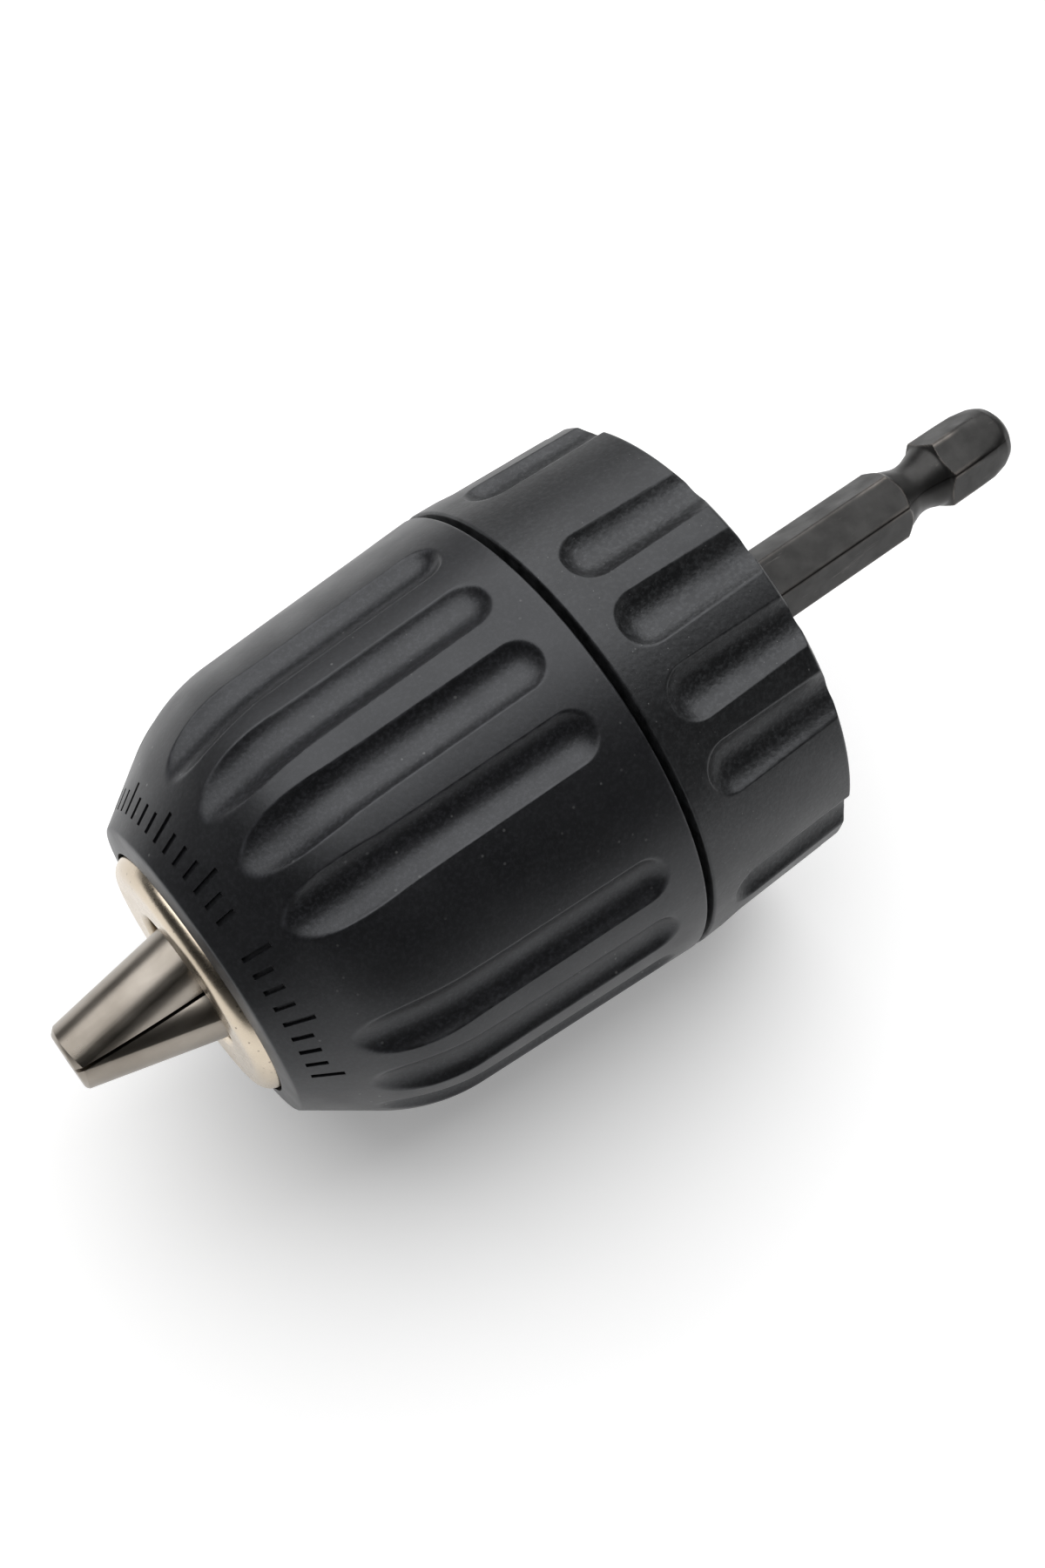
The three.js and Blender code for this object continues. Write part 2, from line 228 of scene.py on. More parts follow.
def relief(name, rows, rolls, radii, inner=(), capped=False, sharp_angle=40):
    """A piece whose outside has its own radius at each row and roll, then the rings of an inner outline.

    It is capped flat at its first and last ring, or else closed from its last ring to its first.
    """
    rolls = np.broadcast_to(rolls, radii.shape)
    columns = rolls.shape[1]
    even = rolls.mean(axis=0)
    rings = [ring_points(x, r, roll) for x, r, roll in zip(rows, radii, rolls)]
    rings += [ring_points(x, r, even) for x, r in inner]
    faces = grid_faces(len(rings), columns, wrap_rows=not capped)
    if capped:
        faces.append(list(range(columns)))
        faces.append(list(range((len(rings) - 1) * columns, len(rings) * columns))[::-1])
    return mesh_object(name, np.concatenate(rings), faces, sharp_angle)


def prism(name, outline, low, high):
    """A bar along X over an outline of (y, z) points."""
    count = len(outline)
    points = [(x, y, z) for x in (low, high) for y, z in outline]
    faces = [list(range(count))[::-1], list(range(count, 2 * count))]
    faces += [[i, (i + 1) % count, count + (i + 1) % count, count + i] for i in range(count)]
    return mesh_object(name, points, faces)


def box_faces():
    """Faces of a box whose first four corners go round one end and whose last four go round the other."""
    return [[0, 1, 2, 3], [7, 6, 5, 4]] + [[(i + 1) % 4, i, 4 + i, 4 + (i + 1) % 4] for i in range(4)]


def set_field(piece, field, first_values):
    """Stores a value for each of a mesh's first points, and 0 for the others, for its material."""
    values = np.zeros(len(piece.data.vertices))
    values[: len(first_values)] = first_values
    piece.data.attributes.new(field, "FLOAT", "POINT").data.foreach_set("value", values)


def boolean(piece, cutter, operation):
    """Cuts or joins by another object, which is used up."""
    cut = piece.modifiers.new("cut", "BOOLEAN")
    cut.operation = operation
    cut.solver = "MANIFOLD"
    cut.object = cutter
    apply_modifiers(piece)
    bpy.data.objects.remove(cutter)
    return piece


def apply_modifiers(piece):
    """Keeps the mesh that a piece's modifiers make, without them."""
    shown = piece.evaluated_get(bpy.context.evaluated_depsgraph_get())
    mesh = bpy.data.meshes.new_from_object(shown)
    piece.modifiers.clear()
    piece.data = mesh


def turn_about_x(piece, roll):
    """Turns a piece's mesh by a roll angle, in degrees."""
    piece.data.transform(Matrix.Rotation(math.radians(-roll), 4, "X"))
    return piece


def bevelled(piece, width):
    """Rounds a piece's sharp edges."""
    bevel = piece.modifiers.new("bevel", "BEVEL")
    bevel.width = width * MM
    bevel.segments = 2
    bevel.limit_method = "ANGLE"
    bevel.angle_limit = math.radians(40)
    apply_modifiers(piece)
    return piece


# ---- Material helpers ----


def new_material(name, **inputs):
    """A Principled material with constant inputs set on its own sockets."""
    material = bpy.data.materials.new(name)
    material.use_nodes = True
    shader = material.node_tree.nodes["Principled BSDF"]
    for socket, value in inputs.items():
        shader.inputs[socket.replace("_", " ")].default_value = value
    return material, material.node_tree, shader


def noise(tree, scale, detail=3, roughness=0.5, stretch=(1, 1, 1), seed=0.0):
    """Noise in the chuck's own space. scale is its lumps per metre."""
    coordinates = tree.nodes.new("ShaderNodeTexCoord")
    mapping = tree.nodes.new("ShaderNodeMapping")
    mapping.inputs["Scale"].default_value = stretch
    mapping.inputs["Location"].default_value = (seed, seed, seed)
    texture = tree.nodes.new("ShaderNodeTexNoise")
    texture.inputs["Scale"].default_value = scale
    texture.inputs["Detail"].default_value = detail
    texture.inputs["Roughness"].default_value = roughness
    tree.links.new(coordinates.outputs["Object"], mapping.inputs["Vector"])
    tree.links.new(mapping.outputs["Vector"], texture.inputs["Vector"])
    return texture.outputs["Fac"]


def spread(tree, value, low, high, start=0.3, end=0.7):
    """Maps a value's start to end onto low to high, clamped."""
    ranged = tree.nodes.new("ShaderNodeMapRange")
    ranged.inputs["From Min"].default_value = start
    ranged.inputs["From Max"].default_value = end
    ranged.inputs["To Min"].default_value = low
    ranged.inputs["To Max"].default_value = high
    tree.links.new(value, ranged.inputs["Value"])
    return ranged.outputs["Result"]


def mix(tree, factor, first, second):
    """Mixes two colours, each a socket or a tuple."""
    node = tree.nodes.new("ShaderNodeMix")
    node.data_type = "RGBA"
    tree.links.new(factor, node.inputs["Factor"])
    for socket, colour in ((node.inputs[6], first), (node.inputs[7], second)):
        if isinstance(colour, tuple):
            socket.default_value = (*colour, 1)
        else:
            tree.links.new(colour, socket)
    return node.outputs[2]


def bump(tree, height, distance, normal=None):
    """Bump of a height, in millimetres."""
    node = tree.nodes.new("ShaderNodeBump")
    node.inputs["Strength"].default_value = 1
    node.inputs["Distance"].default_value = distance * MM
    tree.links.new(height, node.inputs["Height"])
    if normal:
        tree.links.new(normal, node.inputs["Normal"])
    return node.outputs["Normal"]


def attribute(tree, name):
    """A value stored in the mesh by set_field()."""
    node = tree.nodes.new("ShaderNodeAttribute")
    node.attribute_name = name
    return node.outputs["Fac"]


def math_node(tree, operation, first, second):
    """Joins two values by an operation; each is a socket or a number."""
    node = tree.nodes.new("ShaderNodeMath")
    node.operation = operation
    for socket, value in zip(node.inputs, (first, second)):
        if isinstance(value, (int, float)):
            socket.default_value = value
        else:
            tree.links.new(value, socket)
    return node.outputs[0]


def multiply(tree, first, second):
    """The product of two values, each a socket or a number."""
    return math_node(tree, "MULTIPLY", first, second)


def specks(tree, scale, size):
    """Sparse specks: 1 inside one and 0 elsewhere. scale is cells per metre, size a share of a cell."""
    coordinates = tree.nodes.new("ShaderNodeTexCoord")
    cells = tree.nodes.new("ShaderNodeTexVoronoi")
    cells.inputs["Scale"].default_value = scale
    tree.links.new(coordinates.outputs["Object"], cells.inputs["Vector"])
    near = spread(tree, cells.outputs["Distance"], 1, 0, 0.6 * size, size)
    return multiply(tree, near, spread(tree, noise(tree, 90, seed=11), 0, 1, 0.45, 0.6))


# ---- Materials ----


def moulded_nylon(name, dark, light, gloss, grain, grain_height, grain_contrast, dust):
    """Glass-filled nylon: cloudy colour and gloss, grain, paler edges that are a painted edge highlight with
    some rubbing wear, and some dust.

    gloss is its least and greatest roughness, and grain and dust are lumps and cells per metre. The grain
    stands out most where the grain field is 1.
    """
    material, tree, shader = new_material(name, Specular_IOR_Level=0.5, Specular_Tint=(0.94, 0.96, 1.0, 1))
    cloud = spread(tree, noise(tree, 120, detail=4), 0, 1)
    colour = mix(tree, cloud, dark, light)
    grainy = math_node(tree, "ADD", multiply(tree, attribute(tree, "grain"), 0.5), 0.5)
    glints = spread(tree, noise(tree, grain, detail=3, roughness=0.7, seed=11), 0, 1, 0.46, 0.66)
    colour = mix(tree, multiply(tree, glints, grainy), colour, tuple(grain_contrast * c for c in light))
    patch = spread(tree, noise(tree, 900, seed=3), 0.0, 1.0, 0.4, 0.65)
    edge_highlight_and_wear = multiply(tree, attribute(tree, "wear_and_edge_highlight"), patch)
    # Painted edge highlight: the pale flute edges and rims stand for light on their rounded edges, broken
    # into patches like rubbing wear.
    colour = mix(tree, edge_highlight_and_wear, colour, tuple(4 * c for c in light))
    colour = mix(tree, multiply(tree, specks(tree, dust, 0.1), 0.8), colour, (0.12, 0.12, 0.12))
    tree.links.new(colour, shader.inputs["Base Color"])
    tree.links.new(spread(tree, noise(tree, 260, detail=3, seed=1), *gloss), shader.inputs["Roughness"])
    lumps = bump(tree, noise(tree, 400, detail=2, seed=5), 0.015)
    height = multiply(tree, noise(tree, grain, detail=2), grainy)
    tree.links.new(bump(tree, height, grain_height, normal=lumps), shader.inputs["Normal"])
    return material


def nickel_plate():
    """Bright nickel with a warm cast, an orange-peel surface and smudges."""
    material, tree, shader = new_material("nickel_plate", Metallic=1.0)
    cloud = spread(tree, noise(tree, 180, detail=4), 0, 1)
    colour = mix(tree, cloud, (0.53, 0.45, 0.35), (0.65, 0.565, 0.45))
    colour = mix(tree, multiply(tree, specks(tree, 1300, 0.16), 0.8), colour, (0.1, 0.08, 0.06))
    tree.links.new(colour, shader.inputs["Base Color"])
    smudge = spread(tree, noise(tree, 320, detail=5, seed=2), 0.23, 0.33)
    tree.links.new(smudge, shader.inputs["Roughness"])
    peel = bump(tree, noise(tree, 700, detail=2, seed=7), 0.012)
    pits = bump(tree, noise(tree, 4500, detail=2, seed=8), 0.0022, normal=peel)
    tree.links.new(pits, shader.inputs["Normal"])
    return material


def ground_steel(name, dark, light, gloss, stretch, mark):
    """Machined steel with fine marks along one direction. gloss is its least and greatest roughness."""
    material, tree, shader = new_material(name, Metallic=1.0)
    cloud = spread(tree, noise(tree, 200, detail=4), 0, 1)
    tree.links.new(mix(tree, cloud, dark, light), shader.inputs["Base Color"])
    marks = noise(tree, 900, detail=4, roughness=0.6, stretch=stretch, seed=4)
    tree.links.new(spread(tree, marks, *gloss), shader.inputs["Roughness"])
    tree.links.new(bump(tree, marks, mark), shader.inputs["Normal"])
    return material


def shank_oxide():
    """Dark oxide on steel: brown-grey, rubbed on its edges, with painted shade along every other corner, and
    fine scratches.
    """
    material, tree, shader = new_material("shank_oxide", Metallic=0.85)
    cloud = spread(tree, noise(tree, 260, detail=5, roughness=0.6), 0, 1)
    base = mix(tree, cloud, (0.027, 0.0265, 0.026), (0.05, 0.049, 0.048))
    scratch = noise(tree, 700, detail=5, roughness=0.75, stretch=(0.12, 1, 1), seed=2)
    scored = mix(tree, spread(tree, scratch, 0, 0.5, 0.6, 0.72), base, (0.17, 0.162, 0.155))
    rubbed = spread(tree, noise(tree, 800, seed=9), 0.2, 0.9)
    scored = mix(tree, multiply(tree, attribute(tree, "wear_and_edge_highlight"), rubbed), scored, (0.2, 0.18, 0.165))
    # Painted shade: darkens the corners that the mesh marks, as if they lay in shadow.
    painted_corner_shade = mix(tree, multiply(tree, attribute(tree, "painted_corner_shade"), 0.8), scored, (0.01, 0.009, 0.008))
    tree.links.new(painted_corner_shade, shader.inputs["Base Color"])
    tree.links.new(spread(tree, noise(tree, 500, detail=3, seed=6), 0.36, 0.5), shader.inputs["Roughness"])
    tree.links.new(bump(tree, scratch, 0.008), shader.inputs["Normal"])
    return material


MATERIALS = {
    "front_plastic": moulded_nylon(
        "front_plastic", (0.006, 0.0062, 0.007), (0.009, 0.0092, 0.0104), gloss=(0.36, 0.44),
        grain=3000, grain_height=0.016, grain_contrast=2.6, dust=700,
    ),
    "rear_plastic": moulded_nylon(
        "rear_plastic", (0.0052, 0.0054, 0.0058), (0.008, 0.0083, 0.0088), gloss=(0.38, 0.47),
        grain=2600, grain_height=0.034, grain_contrast=3.8, dust=1500,
    ),
    "nickel_plate": nickel_plate(),
    "jaw_steel": ground_steel(
        "jaw_steel", (0.27, 0.24, 0.205), (0.37, 0.335, 0.295),
        gloss=(0.27, 0.36), stretch=(0.25, 1, 1), mark=0.0015,
    ),
    "shank_steel": shank_oxide(),
    "turned_steel": ground_steel(
        "turned_steel", (0.42, 0.42, 0.41), (0.55, 0.55, 0.54),
        gloss=(0.25, 0.45), stretch=(4, 1, 1), mark=0.004,
    ),
    "bearing_steel": ground_steel(
        "bearing_steel", (0.58, 0.58, 0.58), (0.68, 0.68, 0.69),
        gloss=(0.08, 0.2), stretch=(2, 1, 1), mark=0.001,
    ),
    "screw_steel": ground_steel(
        "screw_steel", (0.46, 0.4, 0.26), (0.58, 0.52, 0.36),
        gloss=(0.25, 0.4), stretch=(1, 1, 1), mark=0.004,
    ),
}


def place(piece, nodes, body, slot):
    """Gives a piece its material and slot, puts it on its body and lets it stand for its CAD nodes."""
    piece.data.materials.clear()
    piece.data.materials.append(MATERIALS[slot])
    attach(piece, body)
    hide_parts(*nodes)
    return piece


# ---- Grip sleeves ----


def cell_columns(in_flute=26, on_land=8):
    """Column places in one step of the pattern: -1 to 1 is a flute's width, and the rest reaches to 2."""
    across = np.sin(np.linspace(-math.pi / 2, math.pi / 2, in_flute + 1))
    outward = 2 - np.cos(np.linspace(0, math.pi / 2, on_land + 1))[1:]
    return np.concatenate([-outward[-2::-1], across, outward])


def flute_height(x, roll, bottom, radius, ends):
    """The radius of a ball-ended flute's wall at x and roll from its middle; far out where there is none."""
    centre = np.interp(x, bottom[:, 0], bottom[:, 1]) + radius
    past = np.maximum(ends[0] - x, 0) + np.maximum(x - ends[1], 0)
    ball = np.maximum(radius**2 - past**2, 0)
    inside = ball - (centre * np.sin(roll)) ** 2
    wall = centre * np.cos(roll) - np.sqrt(np.maximum(inside, 0))
    return np.where((inside > 0) & (np.cos(roll) > 0), wall, 99.0)


def grip_sleeve(name, outline, inner, roll, rows, flute, key_slot=None):
    """A sleeve with the flute pattern cut in its outside. A key slot widens its bore."""
    outline = rounded(outline)
    outer_radius = np.interp(rows, outline[:, 0], outline[:, 1])
    step = math.radians(FLUTE_STEP)
    edge = np.minimum(flute["width"] / 2 / outer_radius, 0.45 * step)  # half a flute's columns, in radians
    place_in_cell = cell_columns()
    rim_highlight = np.exp(-np.minimum(rows - rows[0], rows[-1] - rows) / 0.2)  # painted rim highlight within 0.2 mm of the ends
    rolls, radii, wear_and_edge_highlights, grains = [], [], [], []
    for cell in range(360 // FLUTE_STEP):
        middle = math.radians(roll) + (cell - (FLUTES_IN_GROUP - 1) / 2) * step
        t = place_in_cell[None, :]
        land = step / 2 - edge[:, None]
        local = np.clip(t, -1, 1) * edge[:, None] + np.sign(t) * np.maximum(np.abs(t) - 1, 0) * land
        surface = np.broadcast_to(outer_radius[:, None], local.shape)
        wear_and_edge_highlight = np.broadcast_to(rim_highlight[:, None], local.shape)
        grain = np.zeros(local.shape)
        if cell % (FLUTES_IN_GROUP + 1) < FLUTES_IN_GROUP:
            wall = flute_height(rows[:, None], local, flute["bottom"], flute["radius"], flute["ends"])
            # Painted edge highlight along each flute's edges, which the material also treats as wear.
            wear_and_edge_highlight = np.maximum(wear_and_edge_highlight, np.exp(-(((surface - wall) / (0.6 * flute["blend"])) ** 2)))
            grain = np.clip((surface - wall) / 0.3, 0, 1)
            surface = smooth_min(surface, wall, flute["blend"])
        rolls.append(middle + local)
        radii.append(surface)
        wear_and_edge_highlights.append(wear_and_edge_highlight)
        grains.append(grain)
    rolls, radii, wear_and_edge_highlights, grains = (np.concatenate(part, 1) for part in (rolls, radii, wear_and_edge_highlights, grains))
    inner = rounded(inner).tolist()
    if key_slot:
        inner = [(x, key_slot(x, r, rolls.mean(axis=0))) for x, r in inner]
    piece = relief(name, rows, rolls, radii, inner)
    set_field(piece, "wear_and_edge_highlight", wear_and_edge_highlights.ravel())
    set_field(piece, "grain", grains.ravel())
    return piece


def scale_marks():
    """Bars that engrave two arcs of plain ticks round the nose cone, every fourth one longer."""
    bars = []
    front, bottom, slope = 87.55, 14.25, 0.72
    for start, count in TICK_ARCS:
        for k in range(count):
            rear = 85.4 if k % 4 == 0 else 86.1
            bar = [(rear, bottom + slope * (front - rear)), (front, bottom), (front, 30), (rear, 30)]
            points = [(x, y, z) for y in (-0.21, 0.21) for x, z in bar]
            turn = Matrix.Rotation(-math.radians(start + TICK_STEP * k), 3, "X")
            bars.append([tuple(turn @ Vector(point)) for point in points])
    faces = []
    for k in range(len(bars)):
        faces += [[8 * k + i for i in face] for face in box_faces()]
    return mesh_object("ticks", np.concatenate(bars), faces)


def drive_slots(x, radius, rolls):
    """The front sleeve's bore, widened where the nut sleeve's lugs drive it."""
    if not DRIVE_SLOTS[0] <= x <= DRIVE_SLOTS[1]:
        return np.full(rolls.shape, radius)
    quarter = math.radians(90)
    offset = (rolls - math.radians(DRIVE_ROLL) + quarter / 2) % quarter - quarter / 2
    return np.where(np.abs(offset) * radius < DRIVE_SLOT_HALF_WIDTH, DRIVE_SLOT_RADIUS, radius)


def front_sleeve():
    """The sleeve that the hand turns. Its flutes run out through the nose cone."""
    rear, end = FRONT_REAR, FRONT_END
    outline = [
        (rear, 21.35), (rear, 21.75, 0.25), (rear + 25.6, 20.08, 15), (end - 0.33, 13.6, 0.25), (end, 11.6),
    ]
    inner = [
        (end, 11.45), (87.4, 11.45), (87.4, 10.2), (86.4, 10.2), (80.4, 13.9), (77, 13.9), (77, 16.6),
        (72.9, 16.6), (72.8, 16.6), (67.85, 16.6), (67.75, DRIVE_SLOT_RADIUS), (rear, DRIVE_SLOT_RADIUS),
    ]
    rows = spaced(
        (rear, rear + 0.6, 0.1), (rear + 0.6, 56.8, 0.8), (56.8, 60.4, 0.15), (60.4, 75.5, 2.5),
        (75.5, 80, 0.45), (80, end - 0.8, 0.22), (end - 0.8, end, 0.08),
    )
    bottom = rounded([(54, 20.82), (76.5, 19.36, 25), (89, 15.61)])
    flute = {"width": 4.45, "bottom": bottom, "radius": 3.05, "ends": (59.4, 200), "blend": 0.12}
    sleeve = grip_sleeve("front_sleeve_shell", outline, inner, FRONT_ROLL, rows, flute, drive_slots)
    boolean(sleeve, scale_marks(), "DIFFERENCE")
    shade(sleeve, 40)
    return sleeve


def rear_sleeve():
    """The sleeve that the hand holds. Its flutes run out through its rear edge."""
    rear, end = REAR_REAR, REAR_END
    outline = [(rear, 20.7), (rear + 0.45, 21.42, 0.35), (end, 21.78, 0.25), (end, 21.38)]
    inner = [(end, 17.3), (rear + 3, 17.3), (rear + 3, 10.05), (rear, 10.05), (rear, 20.25)]
    rows = spaced(
        (rear, rear + 1.2, 0.07), (rear + 1.2, 48.2, 1.2), (48.2, 51.4, 0.1), (51.4, end - 0.6, 0.6),
        (end - 0.6, end, 0.05),
    )
    bottom = np.array([(0, 20.5), (100, 20.5)])
    flute = {"width": 4.9, "bottom": bottom, "radius": 3.2, "ends": (0, 48.8), "blend": 0.12}
    return grip_sleeve("rear_sleeve_shell", outline, inner, REAR_ROLL, rows, flute)


place(front_sleeve(), ["front_sleeve"], "grip", "front_plastic")
place(rear_sleeve(), ["rear_sleeve"], "chuck", "rear_plastic")


# ---- Nose cap ----


def nose_cap():
    """The plated ring on the body's nose, with a full round on its front edge."""
    return turned("nose_ring", [
        (CAP_REAR, 11.15, 0.25), (CAP_END, 11.15, 1.5), (CAP_END - 0.02, 6.1, 0.5),
        (CAP_END - 0.95, 6.1, 0.1), (CAP_END - 0.95, 10.1), (CAP_REAR, 10.1),
    ])


place(nose_cap(), ["nose_cap"], "chuck", "nickel_plate")


# ---- Jaws ----


def jaw_cylinder(name, start, end, radius, segments=96):
    """A rod along a jaw's axis; start and end are measured from where the axis crosses the chuck's."""
    rod = turned(name, [(start, 0), (start, radius), (end, radius), (end, 0)], segments)
    rod.data.transform(Matrix.Rotation(math.radians(JAW_ANGLE), 4, "Y"))
    rod.data.transform(Matrix.Translation((JAW_CROSSING * MM, 0, 0)))
    return rod


def jaw_back(x):
    """The radius of the jaws' backs at x, along the middle of each."""
    return (JAW_CROSSING - x) * JAW_SLOPE + JAW_RADIUS / math.cos(math.radians(JAW_ANGLE))


def jaw_sector():
    """A jaw's third of the circle: its flats, half a gap in, a land where they meet and straight sides."""
    land, half_gap = 0.4, 0.15
    half_angle = math.radians(60)
    foot, knee = ((math.sin(half_angle) * r - half_gap) / math.cos(half_angle) for r in (land, 14))
    return [(-foot, land), (foot, land), (knee, 14), (knee, 40), (-knee, 40), (-knee, 14)]


def jaw(index):
    """A rod ground to its third of the chuck's circle, with a coned tip and a thread across its back."""
    tip = (TIP - JAW_CROSSING) / math.cos(math.radians(JAW_ANGLE))
    piece = jaw_cylinder(f"jaw_{index + 1}_ground", tip - JAW_LENGTH, 8, JAW_RADIUS)
    boolean(piece, prism("sector", jaw_sector(), -60, 160), "INTERSECT")
    tip_cone = [(40, 0), (40, 40), (TIP - 37.2, 40), (TIP - 0.8, 3.25, 0.7), (TIP, 2.45, 0.5), (TIP, 0)]
    boolean(piece, turned("tip", tip_cone, 128), "INTERSECT")
    bevelled(piece, 0.13)
    for k in range(THREAD_NOTCHES):
        x = THREAD_START + (k - JAW_ROLLS[index] / 360) * THREAD_PITCH
        boolean(piece, thread_notch(x, jaw_back(x) - THREAD_DEPTH), "DIFFERENCE")
    shade(piece, 30)
    return turn_about_x(piece, JAW_ROLLS[index])


def thread_notch(x, bottom):
    """A V groove square to the chuck's axis, with a small flat at its root."""
    outline = [(x - 0.08, bottom), (x + 0.08, bottom), (x + 0.92, bottom + 1.45), (x - 0.92, bottom + 1.45)]
    return mesh_object("notch", [(px, y, pz) for y in (-6, 6) for px, pz in outline], box_faces())


for index in range(3):
    place(jaw(index), [f"jaw_{index + 1}"], f"jaw_{index + 1}", "jaw_steel")


# ---- Threads ----


def thread(x, roll, pitch, hand=1):
    """A helical thread's height, from 0 at its root to 1 at its crest. hand is 1 for right, -1 for left."""
    phase = (x / pitch + hand * roll / (2 * math.pi)) % 1
    return np.clip(1.25 * np.abs(2 * phase - 1) - 0.125, 0, 1)


# ---- Hexagonal shank ----


def hex_columns(per_flat=24):
    """Rolls round a hexagon, closer together at its corners, and the same rolls from each flat's middle."""
    sixth = math.radians(60)
    across = np.sin(np.linspace(-math.pi / 2, math.pi / 2, per_flat + 1))[:-1] * sixth / 2
    rolls = np.concatenate([math.radians(HEX_ROLL) + k * sixth + across for k in range(6)])
    return rolls, np.tile(across, 6)


def hex_adapter():
    """The shank is the lower of a hexagon and a turned blank. A collar and a drilled stud follow it."""
    blank = rounded([
        (0, 0), (0, 1.3, 0.4), (0.4, 2.1), (1, 2.8), (1.8, 3.23), (3.2, 3.56), (8.45, 3.6, 0.1),
        (8.75, 3.05, 0.6), (11.2, 2.2, 3.6), (13.7, 3.1, 0.4), (14.25, 3.62, 0.1), (HEX_END, 3.62),
    ])[1:]
    rows = spaced((0, 3.4, 0.08), (3.4, 8.2, 0.3), (8.2, 14.5, 0.07), (14.5, HEX_END, 0.5))
    rolls, local = hex_columns()
    flats = np.broadcast_to(HEX_FLATS / 2 / np.cos(local), (len(rows), len(rolls)))
    turned_radius = np.broadcast_to(np.interp(rows, blank[:, 0], blank[:, 1])[:, None], flats.shape)
    blend = np.interp(rows, [3, 5], [0.3, 0.06])[:, None]
    shank = smooth_min(flats, turned_radius, blend)
    stud_rows = spaced((38.35, 53.2, 0.12))
    crest = 4.52 - np.clip((38.9 - stud_rows) / 0.6, 0, 1) * 0.5
    stud = crest[:, None] - 0.55 * (1 - thread(stud_rows[:, None], rolls, STUD_PITCH))
    collar = rounded([(HEX_END, 3.4), (HEX_END, 6.35, 0.4), (38.3, 6.35, 0.3), (38.3, 4.1)])
    hole = [(54.4, 3.6), (54.4, 2.5), (54.2, 2.3), (43, 2.3)]
    radii = [shank, np.repeat(collar[:, 1:], len(rolls), 1), stud]
    piece = relief(
        "shank_adapter", np.concatenate([rows, collar[:, 0], stud_rows]), rolls, np.concatenate(radii),
        hole, capped=True, sharp_angle=32,
    )
    # Painted shade along the hexagon's corners: full on every other corner, and a tenth as strong on the
    # rest.
    corner = np.exp(-(((math.radians(30) - np.abs(local)) * 3.6 / 0.1) ** 2))
    shaded_corner = np.round((rolls - math.radians(HEX_ROLL - 30)) / math.radians(60)) % 2
    corner = corner * (0.1 + 0.9 * shaded_corner)
    by_groove = np.interp(rows, [5, 7, 15, 18], [0, 1, 1, 0.25])[:, None]
    crossing = np.exp(-(((flats - turned_radius) / 0.07) ** 2)) * by_groove
    set_field(piece, "wear_and_edge_highlight", crossing.ravel())
    set_field(piece, "painted_corner_shade", np.broadcast_to(corner, crossing.shape).ravel())
    return piece


place(hex_adapter(), ["hex_adapter"], "chuck", "shank_steel")


# ---- Body ----


def chuck_body():
    """The steel core, stepped outside and bored for the tool, the adapter and the three jaws."""
    piece = turned("body_core", [
        (BODY_REAR, 0), (BODY_REAR, 9.7, 0.4), (41.6, 9.7), (41.6, 17, 0.5), (61.7, 17, 0.3), (61.7, 13.5),
        (68.1, 13.5, 0.2), (68.1, 9.3), (75.4, 9.3), (75.4, 13.5, 0.2), (80, 13.5, 0.3), (86, 9.8),
        (BODY_END, 9.8, 0.3), (BODY_END, 0),
    ], 160)
    boolean(piece, turned("tool_bore", [(58.3, 0), (58.3, 5.3), (95, 5.3), (95, 0)], 96), "DIFFERENCE")
    boolean(piece, turned("web_bore", [(50, 0), (50, 2.75), (60, 2.75), (60, 0)], 64), "DIFFERENCE")
    boolean(piece, turned("socket", [(30, 0), (30, 4.78), (54.9, 4.78), (54.9, 0)], 96), "DIFFERENCE")
    for roll in JAW_ROLLS:
        boolean(piece, turn_about_x(jaw_cylinder("bore", -50.3, 20, JAW_BORE), roll), "DIFFERENCE")
    shade(piece, 30)
    return piece


place(chuck_body(), ["chuck_body"], "chuck", "turned_steel")


# ---- Retaining screw ----


def retaining_screw():
    """A left-hand screw with a rounded head and a cross recess."""
    rolls = np.linspace(0, 2 * math.pi, 72, endpoint=False)
    rows = spaced((44.3, 58.2, 0.1))
    crest = 2.2 - np.clip((45 - rows) / 0.7, 0, 1) * 0.5
    shank = crest[:, None] - 0.35 * (1 - thread(rows[:, None], rolls, SCREW_PITCH, hand=-1))
    head = rounded([
        (44, 1.3), (58.6, 2.2), (58.6, 4.2, 0.25), (60.4, 4.2, 1.1), (61.6, 2.6, 2), (61.6, 0.4),
    ])
    shank = np.concatenate([np.full((1, 72), 1.2), shank])
    screw = relief("lock_screw", np.concatenate([[44], rows]), rolls, shank, head[1:], capped=True)
    for turn in (0, 90):
        cross = [(-0.45, -2.4), (0.45, -2.4), (0.45, 2.4), (-0.45, 2.4)]
        boolean(screw, turn_about_x(prism("cross", cross, 60, 63), turn), "DIFFERENCE")
    shade(screw, 35)
    return screw


place(retaining_screw(), ["retaining_screw"], "chuck", "screw_steel")


# ---- Split nut and its sleeve ----


def nut_half(index):
    """Half of the ring whose conical thread drives the jaws."""
    rolls = np.linspace(0, 2 * math.pi, 192, endpoint=False)
    outline = rounded([(NUT_REAR, 12), (NUT_REAR, 14.6, 0.3), (NUT_END, 14.6, 0.3), (NUT_END, 9)])
    inner = []
    for x in np.linspace(NUT_END, NUT_REAR, 44):
        inner.append((x, jaw_back(x) + 0.3 + 0.7 * (1 - thread(x, rolls, THREAD_PITCH))))
    radii = np.repeat(outline[1:-1, 1:], len(rolls), 1)
    half = relief(f"nut_part_{index}", outline[1:-1, 0], rolls, radii, inner)
    side = 1 - 2 * index
    half_gap = 0.15
    near = [(-20, side * half_gap), (20, side * half_gap), (20, side * 20), (-20, side * 20)][::side]
    boolean(half, turn_about_x(prism("half", near, 60, 80), 45), "INTERSECT")
    shade(half, 35)
    return half


